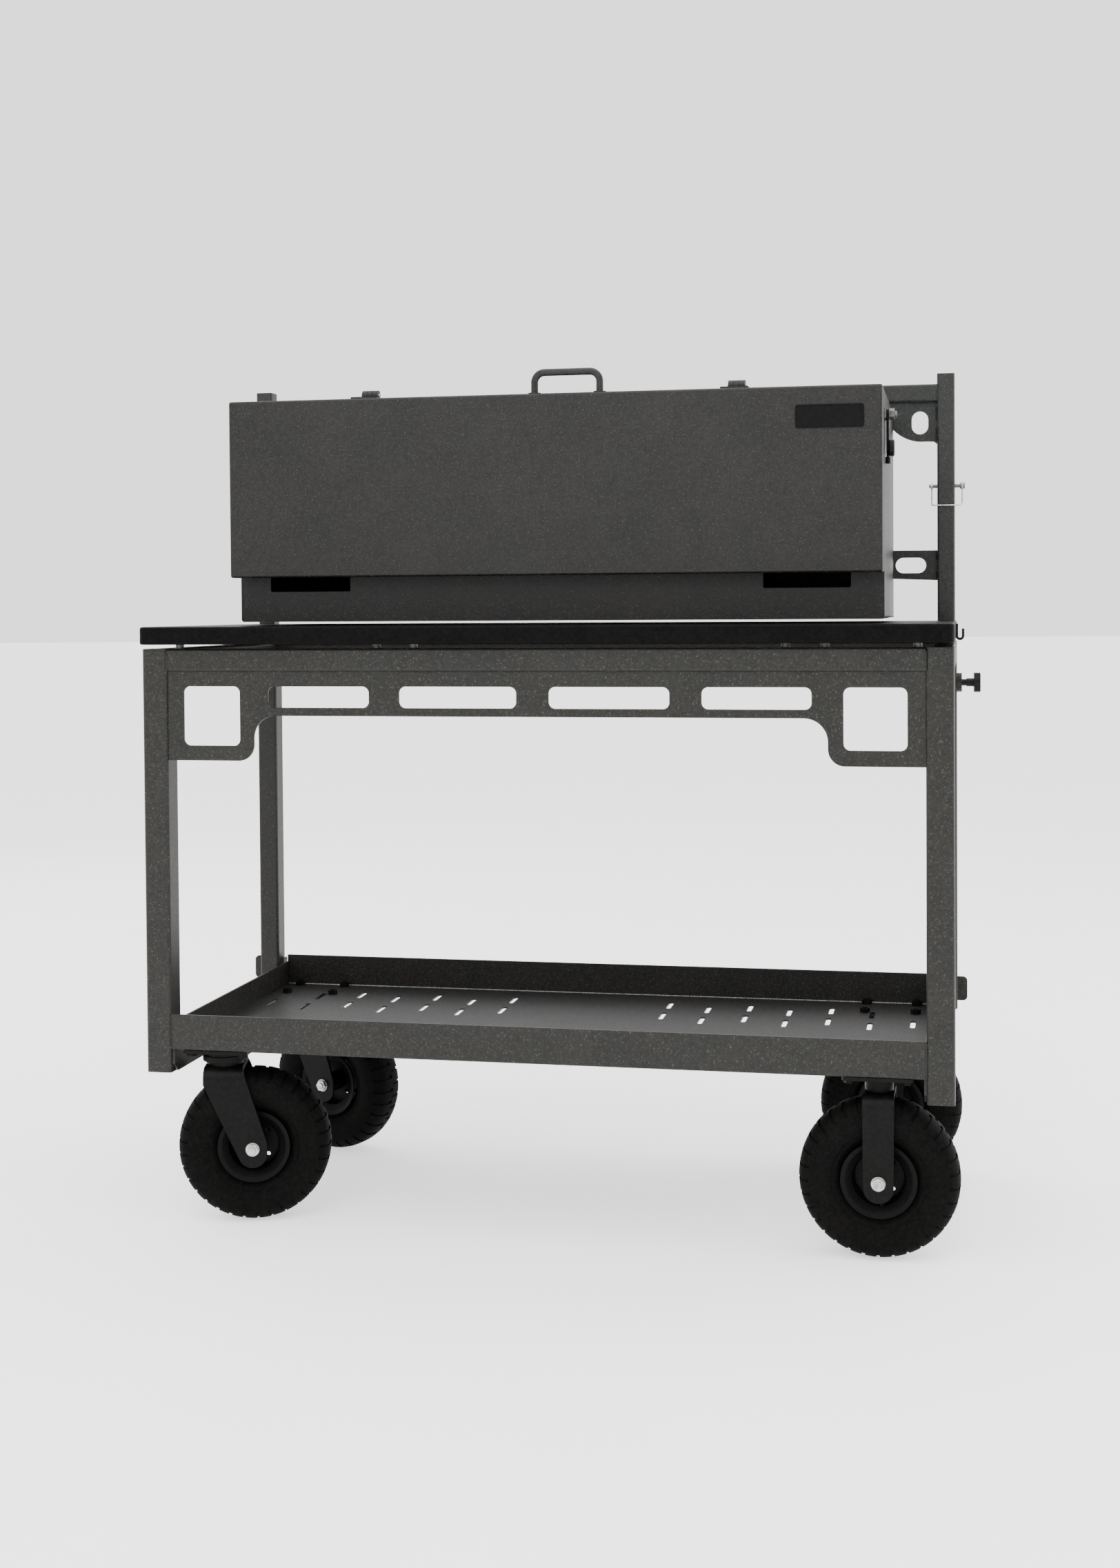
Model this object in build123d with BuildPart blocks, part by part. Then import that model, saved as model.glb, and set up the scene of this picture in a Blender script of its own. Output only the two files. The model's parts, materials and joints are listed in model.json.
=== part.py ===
from build123d import *
from math import cos, radians, sin
import os

os.makedirs("parts", exist_ok=True)

# Wheeled steel cart with a black worktop and a lidded smoke chamber that rides on two
# telescoping rear posts. Millimetres, +Z up, front towards -Y, standing on Z = 0.

# --- frame -------------------------------------------------------------------------
frame_width = 1354.0
frame_depth = 557.0
front_tube = 44.45
frame_tube = 38.1
tube_corner = 6.0
front_wall = 3.0
frame_wall = 2.8
rail_top = 978.4
leg_bottom = 258.5

# --- worktop -----------------------------------------------------------------------
slab_thickness = 30.0
slab_gap = 7.2
slab_overhang = 15.0
slab_half_width = frame_width / 2 + 0.5
slab_corner = 12.0

# --- lower tray --------------------------------------------------------------------
tray_floor_top = 300.6
sheet = 3.0
lip_top = 358.0
side_lip_top = 345.0
slot_pitch = 75.0
slot_length = 55.0
slot_width = 9.0
tray_rows = (-177.0, -87.0, 87.0, 177.0)

# --- apron -------------------------------------------------------------------------
apron_bottom = 866.0
block_bottom = 790.0
block_width = 153.0
apron_set_back = 5.0
window_size = 100.0
window_top = 915.2
window_gap_to_leg = 28.5
apron_slot_height = 35.6
inner_slot = (27.0, 226.0)
outer_slot = (278.0, 454.0)
slot_corner = 11.0

# --- casters -----------------------------------------------------------------------
wheel_radius = 129.0
tyre_width = 80.0
rim_radius = 57.0
caster_x = 556.5
caster_inset = 52.5
trail = 50.0
fork_width = 48.0
rigid_crown = 50.0
swivel_crown = 64.0
fork_sheet = 5.0
fork_half_gap = 44.0
crown_top = 267.0
plate_thickness = 6.0
plate_size = (114.0, 102.0)
plate_holes = (92.0, 70.0)
plate_bolt = 10.0
axle_diameter = 12.7
axle_half_length = 58.0
front_yaw = 15.0
rear_yaw = -17.0

# --- telescoping posts and chamber --------------------------------------------------
post_tube = 31.75
post_wall = 3.0
post_top = 1468.0
post_bottom = 640.0
cross_tube_top = 1449.0
chamber_half_width = 562.0
chamber_set_back = 160.0
chamber_reach = 533.0
chamber_bottom = 1022.0
chamber_top = 1404.0
front_wall_top = 1135.0
opening_return = 22.0
plate_back = 5.0
flap_set_back = 110.0
flap_reach = 155.0
stay_set_back = 190.0
flap_bottom = 1099.0
hinge_radius = 9.0
hinge_pin = 8.0
hinge_x = 319.0
handle_x = 36.0
handle_span = 112.0
handle_rod = 12.0
handle_height = 42.0
pin_height = 1262.8
pin_diameter = 6.35
clamp_height = 901.7
running_gap = 0.35
kingpin_diameter = 16.0
hub_half = 38.0
hub_radius = 18.0
bearing_radius = 14.0

# --- derived places -----------------------------------------------------------------
half = frame_width / 2
rear_reach = axle_half_length - caster_inset
front = (slab_overhang - frame_depth - rear_reach) / 2
rear = front + frame_depth
leg_inner = half - front_tube
post_x = half - frame_tube / 2
post_y = rear - frame_tube / 2
tray_bottom = tray_floor_top - sheet
slab_bottom = rail_top + slab_gap
slab_top = slab_bottom + slab_thickness
plate_top = tray_bottom
plate_bottom = plate_top - plate_thickness
chamber_front = front + chamber_set_back
chamber_back = front + chamber_reach
flap_front = front + flap_set_back
flap_back = front + flap_reach
stay_y = front + stay_set_back


def keep(piece, name):
    """Label one finished piece and write its STEP file."""
    piece.part.label = name
    export_step(piece.part, f"parts/{name}.step")


def square_tube(plane, size, wall, corner, length):
    """A square tube, its section centred on the plane, along the plane's normal."""
    with BuildPart() as tube:
        with BuildSketch(plane):
            RectangleRounded(size, size, corner)
            RectangleRounded(size - 2 * wall, size - 2 * wall, corner - wall, mode=Mode.SUBTRACT)
        extrude(amount=length)
    return tube


# --- legs ---------------------------------------------------------------------------
for side, sign in (("left", -1), ("right", 1)):
    leg_x = sign * (half - front_tube / 2)
    leg_y = front + front_tube / 2
    with BuildPart() as front_leg:
        with BuildSketch(Plane.XY.offset(leg_bottom)):
            with Locations((leg_x, leg_y)):
                RectangleRounded(front_tube, front_tube, tube_corner)
                RectangleRounded(front_tube - 2 * front_wall, front_tube - 2 * front_wall,
                                 tube_corner - front_wall, mode=Mode.SUBTRACT)
        extrude(amount=rail_top - leg_bottom)
        with BuildSketch(Plane.XY.offset(rail_top - front_wall)):
            with Locations((leg_x, leg_y)):
                RectangleRounded(front_tube, front_tube, tube_corner)
        extrude(amount=front_wall)
    keep(front_leg, f"front_leg_{side}")

    boss_hole = Plane(origin=(sign * (half + 1), post_y, clamp_height), z_dir=(-sign, 0, 0))
    with BuildPart() as rear_leg:
        with BuildSketch(Plane.XY.offset(tray_floor_top)):
            with Locations((sign * post_x, post_y)):
                RectangleRounded(frame_tube, frame_tube, tube_corner - 1)
                RectangleRounded(frame_tube - 2 * frame_wall, frame_tube - 2 * frame_wall,
                                 tube_corner - 1 - frame_wall, mode=Mode.SUBTRACT)
        extrude(amount=rail_top - tray_floor_top)
        with BuildSketch(boss_hole):
            Circle(6.6)
        extrude(amount=frame_wall + 3, mode=Mode.SUBTRACT)
    keep(rear_leg, f"rear_leg_{side}")

# --- top rails ----------------------------------------------------------------------
rail_z = rail_top - frame_tube / 2
front_rail = square_tube(Plane(origin=(-leg_inner, front + frame_tube / 2, rail_z), z_dir=(1, 0, 0)),
                         frame_tube, frame_wall, tube_corner - 1, 2 * leg_inner)
keep(front_rail, "front_rail")
rear_inner = half - frame_tube
rear_rail = square_tube(Plane(origin=(-rear_inner, post_y, rail_z), z_dir=(1, 0, 0)),
                        frame_tube, frame_wall, tube_corner - 1, 2 * rear_inner)
keep(rear_rail, "rear_rail")
with BuildPart() as side_rails:
    with BuildSketch(Plane(origin=(0, front + front_tube, rail_z), x_dir=(1, 0, 0), z_dir=(0, 1, 0))):
        with Locations((post_x, 0), (-post_x, 0)):
            RectangleRounded(frame_tube, frame_tube, tube_corner - 1)
            RectangleRounded(frame_tube - 2 * frame_wall, frame_tube - 2 * frame_wall,
                             tube_corner - 1 - frame_wall, mode=Mode.SUBTRACT)
    extrude(amount=frame_depth - front_tube - frame_tube)
keep(side_rails, "side_rails")

# --- apron panel under the front rail -------------------------------------------------
apron_top = rail_top - frame_tube
window_centre = leg_inner - window_gap_to_leg - window_size / 2
block_inner = leg_inner - block_width
with BuildPart() as apron_panel:
    with BuildSketch(Plane(origin=(0, front + apron_set_back, 0), x_dir=(1, 0, 0), z_dir=(0, -1, 0))):
        with BuildLine():
            Polyline((0, apron_top), (leg_inner, apron_top), (leg_inner, block_bottom),
                     (block_inner + 27, block_bottom))
            RadiusArc((block_inner + 27, block_bottom), (block_inner, block_bottom + 27), 27)
            Line((block_inner, block_bottom + 27), (block_inner, apron_bottom - 38))
            RadiusArc((block_inner, apron_bottom - 38), (block_inner - 38, apron_bottom), -38)
            Polyline((block_inner - 38, apron_bottom), (0, apron_bottom), (0, apron_top))
        make_face()
        mirror(about=Plane.YZ)
        with Locations((window_centre, window_top - window_size / 2),
                       (-window_centre, window_top - window_size / 2)):
            RectangleRounded(window_size, window_size, slot_corner, mode=Mode.SUBTRACT)
        for start, end in (inner_slot, outer_slot):
            middle = (start + end) / 2
            with Locations((middle, window_top - apron_slot_height / 2),
                           (-middle, window_top - apron_slot_height / 2)):
                RectangleRounded(end - start, apron_slot_height, slot_corner, mode=Mode.SUBTRACT)
    extrude(amount=-sheet)
keep(apron_panel, "apron_panel")

# --- lower tray: folded pan with slots, and the plates that close its ends ------------
lip_front = front + 2.0
lip_back = rear - 2.0
pan_half = leg_inner
with BuildPart() as tray_lips:
    for lip_y in (lip_front + sheet / 2, lip_back - sheet / 2):
        with BuildSketch(Plane.XY.offset(tray_bottom)):
            with Locations((0, lip_y)):
                Rectangle(2 * pan_half, sheet)
        extrude(amount=lip_top - tray_bottom)
    fillet(tray_lips.edges().filter_by(Axis.X).group_by(Axis.Z)[0].sort_by(Axis.Y)[0], 2.5)
    fillet(tray_lips.edges().filter_by(Axis.X).group_by(Axis.Z)[0].sort_by(Axis.Y)[-1], 2.5)
    with BuildSketch(Plane.XY.offset(tray_bottom)):
        with Locations((pan_half - sheet / 2, (lip_front + lip_back) / 2),
                       (sheet / 2 - pan_half, (lip_front + lip_back) / 2)):
            Rectangle(sheet, lip_back - lip_front - 2 * sheet - 0.02)
    extrude(amount=side_lip_top - tray_bottom)
keep(tray_lips, "tray_lips")

with BuildPart() as tray_pan:
    with BuildSketch(Plane.XY.offset(tray_bottom)):
        with Locations((0, (lip_front + lip_back) / 2)):
            Rectangle(2 * (pan_half - sheet), lip_back - lip_front - 2 * sheet)
    extrude(amount=sheet)
    with BuildSketch(Plane.XY.offset(tray_bottom)):
        with Locations((pan_half + 20.5, post_y - 2), (-pan_half - 20.5, post_y - 2)):
            Rectangle(41, 33)
    extrude(amount=sheet)
    with BuildSketch(Plane.XY.offset(tray_floor_top)):
        for column in range(-8, 9):
            if abs(column) > 1:
                stagger = -13.0 if column % 2 else 13.0
                for row_y in tray_rows if abs(column) < 8 else tray_rows[1:3]:
                    with Locations((column * slot_pitch, front + frame_depth / 2 + row_y + stagger)):
                        SlotOverall(slot_length, slot_width, rotation=90)
    extrude(amount=-2 * sheet, mode=Mode.SUBTRACT)
    with BuildSketch(Plane.XY.offset(tray_floor_top)):
        for caster_y in (front + caster_inset, rear - caster_inset):
            with Locations((caster_x, caster_y), (-caster_x, caster_y)):
                with GridLocations(plate_holes[0], plate_holes[1], 2, 2):
                    Circle(plate_bolt / 2 + 0.5)
    extrude(amount=-2 * sheet, mode=Mode.SUBTRACT)
keep(tray_pan, "tray_pan")

with BuildPart() as end_plates:
    for sign in (-1, 1):
        with BuildSketch(Plane(origin=(sign * leg_inner, 0, 0), x_dir=(0, 1, 0), z_dir=(1, 0, 0))):
            with BuildLine():
                Polyline((lip_front + 4, tray_bottom), (lip_back - 4, tray_bottom),
                         (lip_back - 4, leg_bottom + 14), (lip_back - 18, leg_bottom),
                         (lip_front + 18, leg_bottom), (lip_front + 4, leg_bottom + 14),
                         (lip_front + 4, tray_bottom))
            make_face()
        extrude(amount=-sign * 4.0)
keep(end_plates, "end_plates")

# rounded tabs welded outside the rear legs
with BuildPart() as rear_tabs:
    for sign in (-1, 1):
        with BuildSketch(Plane(origin=(0, post_y + 6, 0), x_dir=(1, 0, 0), z_dir=(0, -1, 0))):
            with Locations((sign * (half + 9), 335)):
                RectangleRounded(18, 44, 8)
            with Locations((sign * (half + 4.5), 335)):
                Rectangle(9, 44)
        extrude(amount=5)
keep(rear_tabs, "rear_tabs")

# --- black worktop slab on spacers ----------------------------------------------------
slab_front = front - slab_overhang
slab_back = rear - frame_tube - 3.0
with BuildPart() as worktop_slab:
    with BuildSketch(Plane.XY.offset(slab_bottom)):
        with Locations((0, (slab_front + slab_back) / 2)):
            RectangleRounded(2 * slab_half_width, slab_back - slab_front, slab_corner)
    extrude(amount=slab_thickness)
    fillet(worktop_slab.edges().group_by(Axis.Z)[-1], 4)
    fillet(worktop_slab.edges().group_by(Axis.Z)[0], 3)
keep(worktop_slab, "worktop_slab")

spacer_spots = [(x, y) for x in (-620, -271, -207, 411, 474, 620) for y in (front + 28, )]
spacer_spots += [(x, rear - frame_tube - 60) for x in (-post_x, post_x)]
with BuildPart() as slab_fixings:
    with BuildSketch(Plane.XY.offset(rail_top)):
        with Locations(*spacer_spots):
            Circle(7)
            Circle(4.5, mode=Mode.SUBTRACT)
    extrude(amount=slab_gap)
    with BuildSketch(Plane.XY.offset(rail_top - frame_tube - 5)):
        with Locations(*spacer_spots):
            RegularPolygon(6.5, 6, major_radius=False)
    extrude(amount=5)
keep(slab_fixings, "slab_fixings")

# --- tool hook on the right end of the worktop ----------------------------------------
hook_y = front + 150.0
with BuildPart() as tool_hook:
    with BuildSketch(Plane(origin=(slab_half_width, hook_y, 0), x_dir=(1, 0, 0), z_dir=(0, -1, 0))):
        with BuildLine():
            hook_inside = Polyline((0, slab_top - 2), (4, slab_top - 2), (4, slab_bottom + 8))
            hook_bend = ThreePointArc((4, slab_bottom + 8), (7, slab_bottom + 5), (10, slab_bottom + 8))
            hook_lip = Polyline((10, slab_bottom + 8), (10, slab_bottom + 20), (14, slab_bottom + 20),
                                (14, slab_bottom + 8))
            hook_under = ThreePointArc((14, slab_bottom + 8), (7, slab_bottom + 1), (0, slab_bottom + 8))
            hook_back = Line((0, slab_bottom + 8), (0, slab_top - 2))
        make_face()
    extrude(amount=-22)
keep(tool_hook, "tool_hook")

# --- casters --------------------------------------------------------------------------


def local(base, x, y, z):
    """A point given along the caster's trail, across it and up."""
    return base.origin + base.x_dir * x + base.y_dir * y + Vector(0, 0, z)


def caster_fork(base, behind, spacer):
    """Pressed fork: a U of sheet cut to the shape of its raked legs, under its race or spacer."""
    across = Plane(origin=local(base, -80, 0, 0), x_dir=base.y_dir, z_dir=base.x_dir)
    side_on = Plane(origin=local(base, 0, 0, 0), x_dir=base.x_dir, z_dir=-base.y_dir)
    wide = fork_half_gap + fork_sheet
    with BuildPart() as fork:
        with BuildSketch(across) as section:
            with Locations((0, crown_top / 2)):
                Rectangle(2 * wide, crown_top)
            fillet(section.vertices().group_by(Axis.Y)[-1], 20)
            with Locations((0, crown_top / 2 - fork_sheet - 20)):
                RectangleRounded(2 * fork_half_gap, crown_top + 40, 15, mode=Mode.SUBTRACT)
        extrude(amount=240)
        with BuildSketch(side_on):
            with Locations((behind, wheel_radius - 8), (behind, wheel_radius + 6)):
                Circle(fork_width / 2)
            with Locations((0, crown_top - 12)):
                Rectangle(rigid_crown if spacer else swivel_crown, 30)
            make_hull()
            with Locations((behind, wheel_radius)):
                Circle(axle_diameter / 2 + 0.1, mode=Mode.SUBTRACT)
        extrude(amount=2 * wide, both=True, mode=Mode.INTERSECT)
        if spacer:
            with BuildSketch(Plane.XY.offset(crown_top)):
                with Locations((base.origin.X, base.origin.Y)):
                    Circle(rigid_crown / 2 - 2)
                    Circle(rigid_crown / 2 - 8, mode=Mode.SUBTRACT)
            extrude(amount=plate_bottom - crown_top)
        else:
            with BuildSketch(Plane.XY.offset(crown_top)):
                with Locations((base.origin.X, base.origin.Y)):
                    Circle(32)
                    Circle(22, mode=Mode.SUBTRACT)
            extrude(amount=6)
            with BuildSketch(Plane.XY.offset(crown_top + 1)):
                with Locations((base.origin.X, base.origin.Y)):
                    Circle(kingpin_diameter / 2 + 0.4)
            extrude(amount=-10, mode=Mode.SUBTRACT)
    return fork


def axle_set(base, behind):
    """Axle bolt with its head, nut, washers and the two spacers that centre the wheel."""
    centre = local(base, behind, 0, wheel_radius)
    outer = fork_half_gap + fork_sheet
    with BuildPart() as axle:
        with BuildSketch(Plane(origin=centre - base.y_dir * outer, z_dir=base.y_dir)):
            Circle(axle_diameter / 2)
        extrude(amount=2 * outer)
        for way in (-1, 1):
            with BuildSketch(Plane(origin=centre + base.y_dir * (way * outer), z_dir=base.y_dir * way)):
                Circle(11.5)
            extrude(amount=1.8)
            with BuildSketch(Plane(origin=centre + base.y_dir * (way * (outer + 1.8)),
                                   z_dir=base.y_dir * way)):
                RegularPolygon(9, 6, major_radius=False)
            extrude(amount=axle_half_length - outer - 3.8)
            with BuildSketch(Plane(origin=centre + base.y_dir * (way * (axle_half_length - 2)),
                                   z_dir=base.y_dir * way)):
                Circle(axle_diameter / 2)
            extrude(amount=2, taper=20)
            with BuildSketch(Plane(origin=centre + base.y_dir * (way * (hub_half + 0.4)),
                                   z_dir=base.y_dir * way)):
                Circle(9.5)
            extrude(amount=fork_half_gap - hub_half - 0.4)
    return axle


def wheel_pieces(base, behind):
    """Tyre, rim with its hub, and the two hub bearings, revolved about the axle."""
    centre = local(base, behind, 0, wheel_radius)
    section = Plane(origin=centre, x_dir=base.y_dir, z_dir=base.x_dir)
    axle_line = Axis(centre, base.y_dir)
    crown = wheel_radius
    with BuildPart() as tyre:
        with BuildSketch(section):
            with BuildLine():
                Line((-19, rim_radius - 9), (-27, rim_radius + 1))
                ThreePointArc((-27, rim_radius + 1), (-tyre_width / 2, 92), (-31, crown - 11))
                ThreePointArc((-31, crown - 11), (0, crown), (31, crown - 11))
                ThreePointArc((31, crown - 11), (tyre_width / 2, 92), (27, rim_radius + 1))
                Polyline((27, rim_radius + 1), (19, rim_radius - 9), (14, rim_radius - 9),
                         (20, rim_radius + 4))
                ThreePointArc((20, rim_radius + 4), (33, 92), (24, crown - 17))
                ThreePointArc((24, crown - 17), (0, crown - 8), (-24, crown - 17))
                ThreePointArc((-24, crown - 17), (-33, 92), (-20, rim_radius + 4))
                Polyline((-20, rim_radius + 4), (-14, rim_radius - 9), (-19, rim_radius - 9))
            make_face()
            with Locations((-16, crown), (-5.5, crown), (5.5, crown), (16, crown)):
                Rectangle(2.6, 8, mode=Mode.SUBTRACT)
        revolve(axis=axle_line)
    with BuildPart() as rim:
        with BuildSketch(section):
            with BuildLine():
                Polyline((-33, rim_radius + 4), (-30, rim_radius + 4), (-28, rim_radius - 1.5),
                         (-21, rim_radius - 11), (-14, rim_radius - 14),
                         (14, rim_radius - 14), (21, rim_radius - 11),
                         (28, rim_radius - 1.5), (30, rim_radius + 4), (33, rim_radius + 4),
                         (31, rim_radius - 3), (24, rim_radius - 14), (15, rim_radius - 17),
                         (3, rim_radius - 17), (3, hub_radius), (hub_half, hub_radius),
                         (hub_half, bearing_radius), (-hub_half, bearing_radius), (-hub_half, hub_radius),
                         (-3, hub_radius), (-3, rim_radius - 17), (-15, rim_radius - 17),
                         (-24, rim_radius - 14), (-31, rim_radius - 3), (-33, rim_radius + 4))
            make_face()
        revolve(axis=axle_line)
        with BuildSketch(Plane(origin=centre - base.y_dir * 12, x_dir=base.x_dir, z_dir=base.y_dir)):
            with PolarLocations(30, 4, 45):
                Circle(4)
        extrude(amount=24, mode=Mode.SUBTRACT)
    with BuildPart() as bearings:
        with BuildSketch(section):
            for way in (-1, 1):
                with Locations((way * (hub_half - 5), (bearing_radius + axle_diameter / 2 + 0.05) / 2)):
                    Rectangle(10, bearing_radius - axle_diameter / 2 - 0.05)
        revolve(axis=axle_line)
    return tyre, rim, bearings


corners = (
    ("front_left", -1, front + caster_inset, front_yaw, trail),
    ("rear_left", -1, rear - caster_inset, rear_yaw, trail),
    ("front_right", 1, front + caster_inset, 0.0, 0.0),
    ("rear_right", 1, rear - caster_inset, 0.0, 0.0),
)
bases = [Plane(origin=(sign * caster_x, caster_y, 0), x_dir=(cos(radians(yaw)), sin(radians(yaw)), 0))
         for _, sign, caster_y, yaw, _ in corners]
for corner, base in zip(corners, bases):
    tyre, rim, bearings = wheel_pieces(base, corner[4])
    keep(tyre, f"tyre_{corner[0]}")
    keep(rim, f"rim_{corner[0]}")
    keep(bearings, f"bearings_{corner[0]}")
for corner, base in zip(corners[:2], bases[:2]):
    keep(caster_fork(base, trail, spacer=False), f"fork_{corner[0]}")
    keep(axle_set(base, trail), f"axle_{corner[0]}")
with BuildPart() as rigid_forks:
    for base in bases[2:]:
        add(caster_fork(base, 0, spacer=True))
keep(rigid_forks, "rigid_forks")
with BuildPart() as rigid_axles:
    for base in bases[2:]:
        add(axle_set(base, 0))
keep(rigid_axles, "rigid_axles")

caster_spots = [(sign * caster_x, caster_y) for _, sign, caster_y, _, _ in corners]
with BuildPart() as caster_plates:
    with BuildSketch(Plane.XY.offset(plate_bottom)):
        with Locations(*caster_spots):
            RectangleRounded(plate_size[0], plate_size[1], 8)
            with GridLocations(plate_holes[0], plate_holes[1], 2, 2):
                Circle(plate_bolt / 2 + 0.5, mode=Mode.SUBTRACT)
    extrude(amount=plate_thickness)
keep(caster_plates, "caster_plates")

with BuildPart() as plate_bolts:
    with BuildSketch(Plane.XY.offset(plate_bottom - 2)):
        with Locations(*caster_spots):
            with GridLocations(plate_holes[0], plate_holes[1], 2, 2):
                Circle(plate_bolt / 2)
    extrude(amount=tray_floor_top + 10 - plate_bottom + 2)
    with BuildSketch(Plane.XY.offset(plate_bottom)):
        with Locations(*caster_spots):
            with GridLocations(plate_holes[0], plate_holes[1], 2, 2):
                RegularPolygon(8, 6, major_radius=False)
    extrude(amount=-6)
    with BuildSketch(Plane.XY.offset(tray_floor_top)):
        with Locations(*caster_spots):
            with GridLocations(plate_holes[0], plate_holes[1], 2, 2):
                RegularPolygon(8, 6, major_radius=False)
    extrude(amount=8)
keep(plate_bolts, "plate_bolts")

swivel_spots = caster_spots[:2]
with BuildPart() as swivel_bearings:
    with BuildSketch(Plane.XY.offset(crown_top - fork_sheet - 6.5)):
        with Locations(*swivel_spots):
            Circle(kingpin_diameter / 2)
    extrude(amount=plate_bottom - crown_top + fork_sheet + 6.5)
    with BuildSketch(Plane.XY.offset(crown_top - fork_sheet - 6.2)):
        with Locations(*swivel_spots):
            RegularPolygon(11.5, 6, major_radius=False)
    extrude(amount=6)
    with BuildSketch(Plane.XY.offset(crown_top + 14)):
        with Locations(*swivel_spots):
            Circle(35)
    extrude(amount=plate_bottom - crown_top - 14)
    with BuildSketch(Plane.XY.offset(crown_top + 7)):
        with Locations(*swivel_spots):
            Circle(38)
            Circle(33.5, mode=Mode.SUBTRACT)
    extrude(amount=9)
    with Locations(*[(x, y, crown_top + 10) for x, y in swivel_spots]):
        with PolarLocations(27, 14):
            Sphere(3.6)
keep(swivel_bearings, "swivel_bearings")

# --- telescoping lift frame -------------------------------------------------------------
post_spots = [(-post_x, post_y), (post_x, post_y)]
with BuildPart() as lift_posts:
    with BuildSketch(Plane.XY.offset(post_bottom)):
        with Locations(*post_spots):
            RectangleRounded(post_tube, post_tube, 4)
            RectangleRounded(post_tube - 2 * post_wall, post_tube - 2 * post_wall, 1, mode=Mode.SUBTRACT)
    extrude(amount=post_top - post_bottom)
    with BuildSketch(Plane.XY.offset(post_top - 3)):
        with Locations(*post_spots):
            RectangleRounded(post_tube - post_wall, post_tube - post_wall, 2)
    extrude(amount=3)
    with BuildSketch(Plane(origin=(0, post_y, 0), x_dir=(0, 1, 0), z_dir=(1, 0, 0))):
        with Locations((0, pin_height)):
            Circle(pin_diameter / 2 + 0.05)
        with Locations(*[(0, pin_height - step) for step in (50, 100)]):
            Circle(pin_diameter / 2 + 0.4)
    extrude(amount=half, both=True, mode=Mode.SUBTRACT)
keep(lift_posts, "lift_posts")

post_inner = post_x - post_tube / 2
cross_tube_start = (-post_inner, post_y, cross_tube_top - post_tube / 2)
cross_tube = square_tube(Plane(origin=cross_tube_start, z_dir=(1, 0, 0)),
                         post_tube, post_wall, 4, 2 * post_inner)
keep(cross_tube, "cross_tube")

ear_top = cross_tube_top - post_tube
with BuildPart() as back_plate:
    with BuildSketch(Plane(origin=(0, chamber_back, 0), x_dir=(1, 0, 0), z_dir=(0, -1, 0))):
        with BuildLine():
            Polyline((0, chamber_bottom), (chamber_half_width, chamber_bottom), (chamber_half_width, 1093),
                     (post_inner, 1090), (post_inner, 1145), (chamber_half_width, 1145),
                     (chamber_half_width, 1368))
            ThreePointArc((chamber_half_width, 1368), (588, 1350), (622, 1345))
            Polyline((622, 1345), (636, 1344.5), (post_inner, 1340), (post_inner, ear_top), (0, ear_top),
                     (0, chamber_bottom))
        make_face()
        mirror(about=Plane.YZ)
        for sign in (-1, 1):
            with Locations((sign * 611, 1379.4)):
                SlotOverall(42, 30, rotation=90, mode=Mode.SUBTRACT)
            with Locations((sign * 593.8, 1117.5)):
                SlotOverall(55.6, 28.4, mode=Mode.SUBTRACT)
    extrude(amount=-plate_back)
keep(back_plate, "back_plate")

# --- chamber body ---------------------------------------------------------------------
chamber_depth = chamber_back - chamber_front
chamber_middle = (chamber_front + chamber_back) / 2
inner_half = chamber_half_width - sheet
opening_top = chamber_top - opening_return
with BuildPart() as chamber_shell:
    with BuildSketch(Plane(origin=(0, chamber_front, 0), x_dir=(1, 0, 0), z_dir=(0, -1, 0))):
        with Locations((0, (chamber_bottom + chamber_top) / 2)):
            RectangleRounded(2 * chamber_half_width, chamber_top - chamber_bottom, 5)
            RectangleRounded(2 * inner_half, chamber_top - chamber_bottom - 2 * sheet, 2, mode=Mode.SUBTRACT)
    extrude(amount=-chamber_depth)
keep(chamber_shell, "chamber_shell")

vent_bottom = 1074.5
vent_top = 1110.0
vent_middle = 434.0
vent_width = 146.0
with BuildPart() as chamber_front_frame:
    with BuildSketch(Plane(origin=(0, chamber_front + 0.5, 0), x_dir=(1, 0, 0), z_dir=(0, -1, 0))):
        with Locations((0, (chamber_bottom + chamber_top) / 2)):
            RectangleRounded(2 * inner_half, chamber_top - chamber_bottom - 2 * sheet, 2)
        with Locations((0, (front_wall_top + opening_top) / 2)):
            RectangleRounded(2 * (inner_half - opening_return), opening_top - front_wall_top, 4,
                             mode=Mode.SUBTRACT)
        with Locations((vent_middle, (vent_bottom + vent_top) / 2),
                       (-vent_middle, (vent_bottom + vent_top) / 2)):
            RectangleRounded(vent_width, vent_top - vent_bottom, 3, mode=Mode.SUBTRACT)
    extrude(amount=-sheet)
keep(chamber_front_frame, "chamber_front_frame")

grate_z = 1160.0
with BuildPart() as grate_rails:
    with BuildSketch(Plane(origin=(0, chamber_front + 20, 0), x_dir=(1, 0, 0), z_dir=(0, -1, 0))):
        for sign in (-1, 1):
            with Locations((sign * (inner_half - 12.5), grate_z - 1.5)):
                Rectangle(25, 3)
            with Locations((sign * (inner_half - 1.5), grate_z - 12.5)):
                Rectangle(3, 25)
    extrude(amount=40 - chamber_depth)
    with BuildSketch(Plane(origin=(0, chamber_front + sheet + 0.5, 0), x_dir=(1, 0, 0), z_dir=(0, -1, 0))):
        with Locations((0, grate_z - 1.5)):
            Rectangle(40, 3)
    extrude(amount=sheet + 0.5 - chamber_depth)
keep(grate_rails, "grate_rails")

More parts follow.
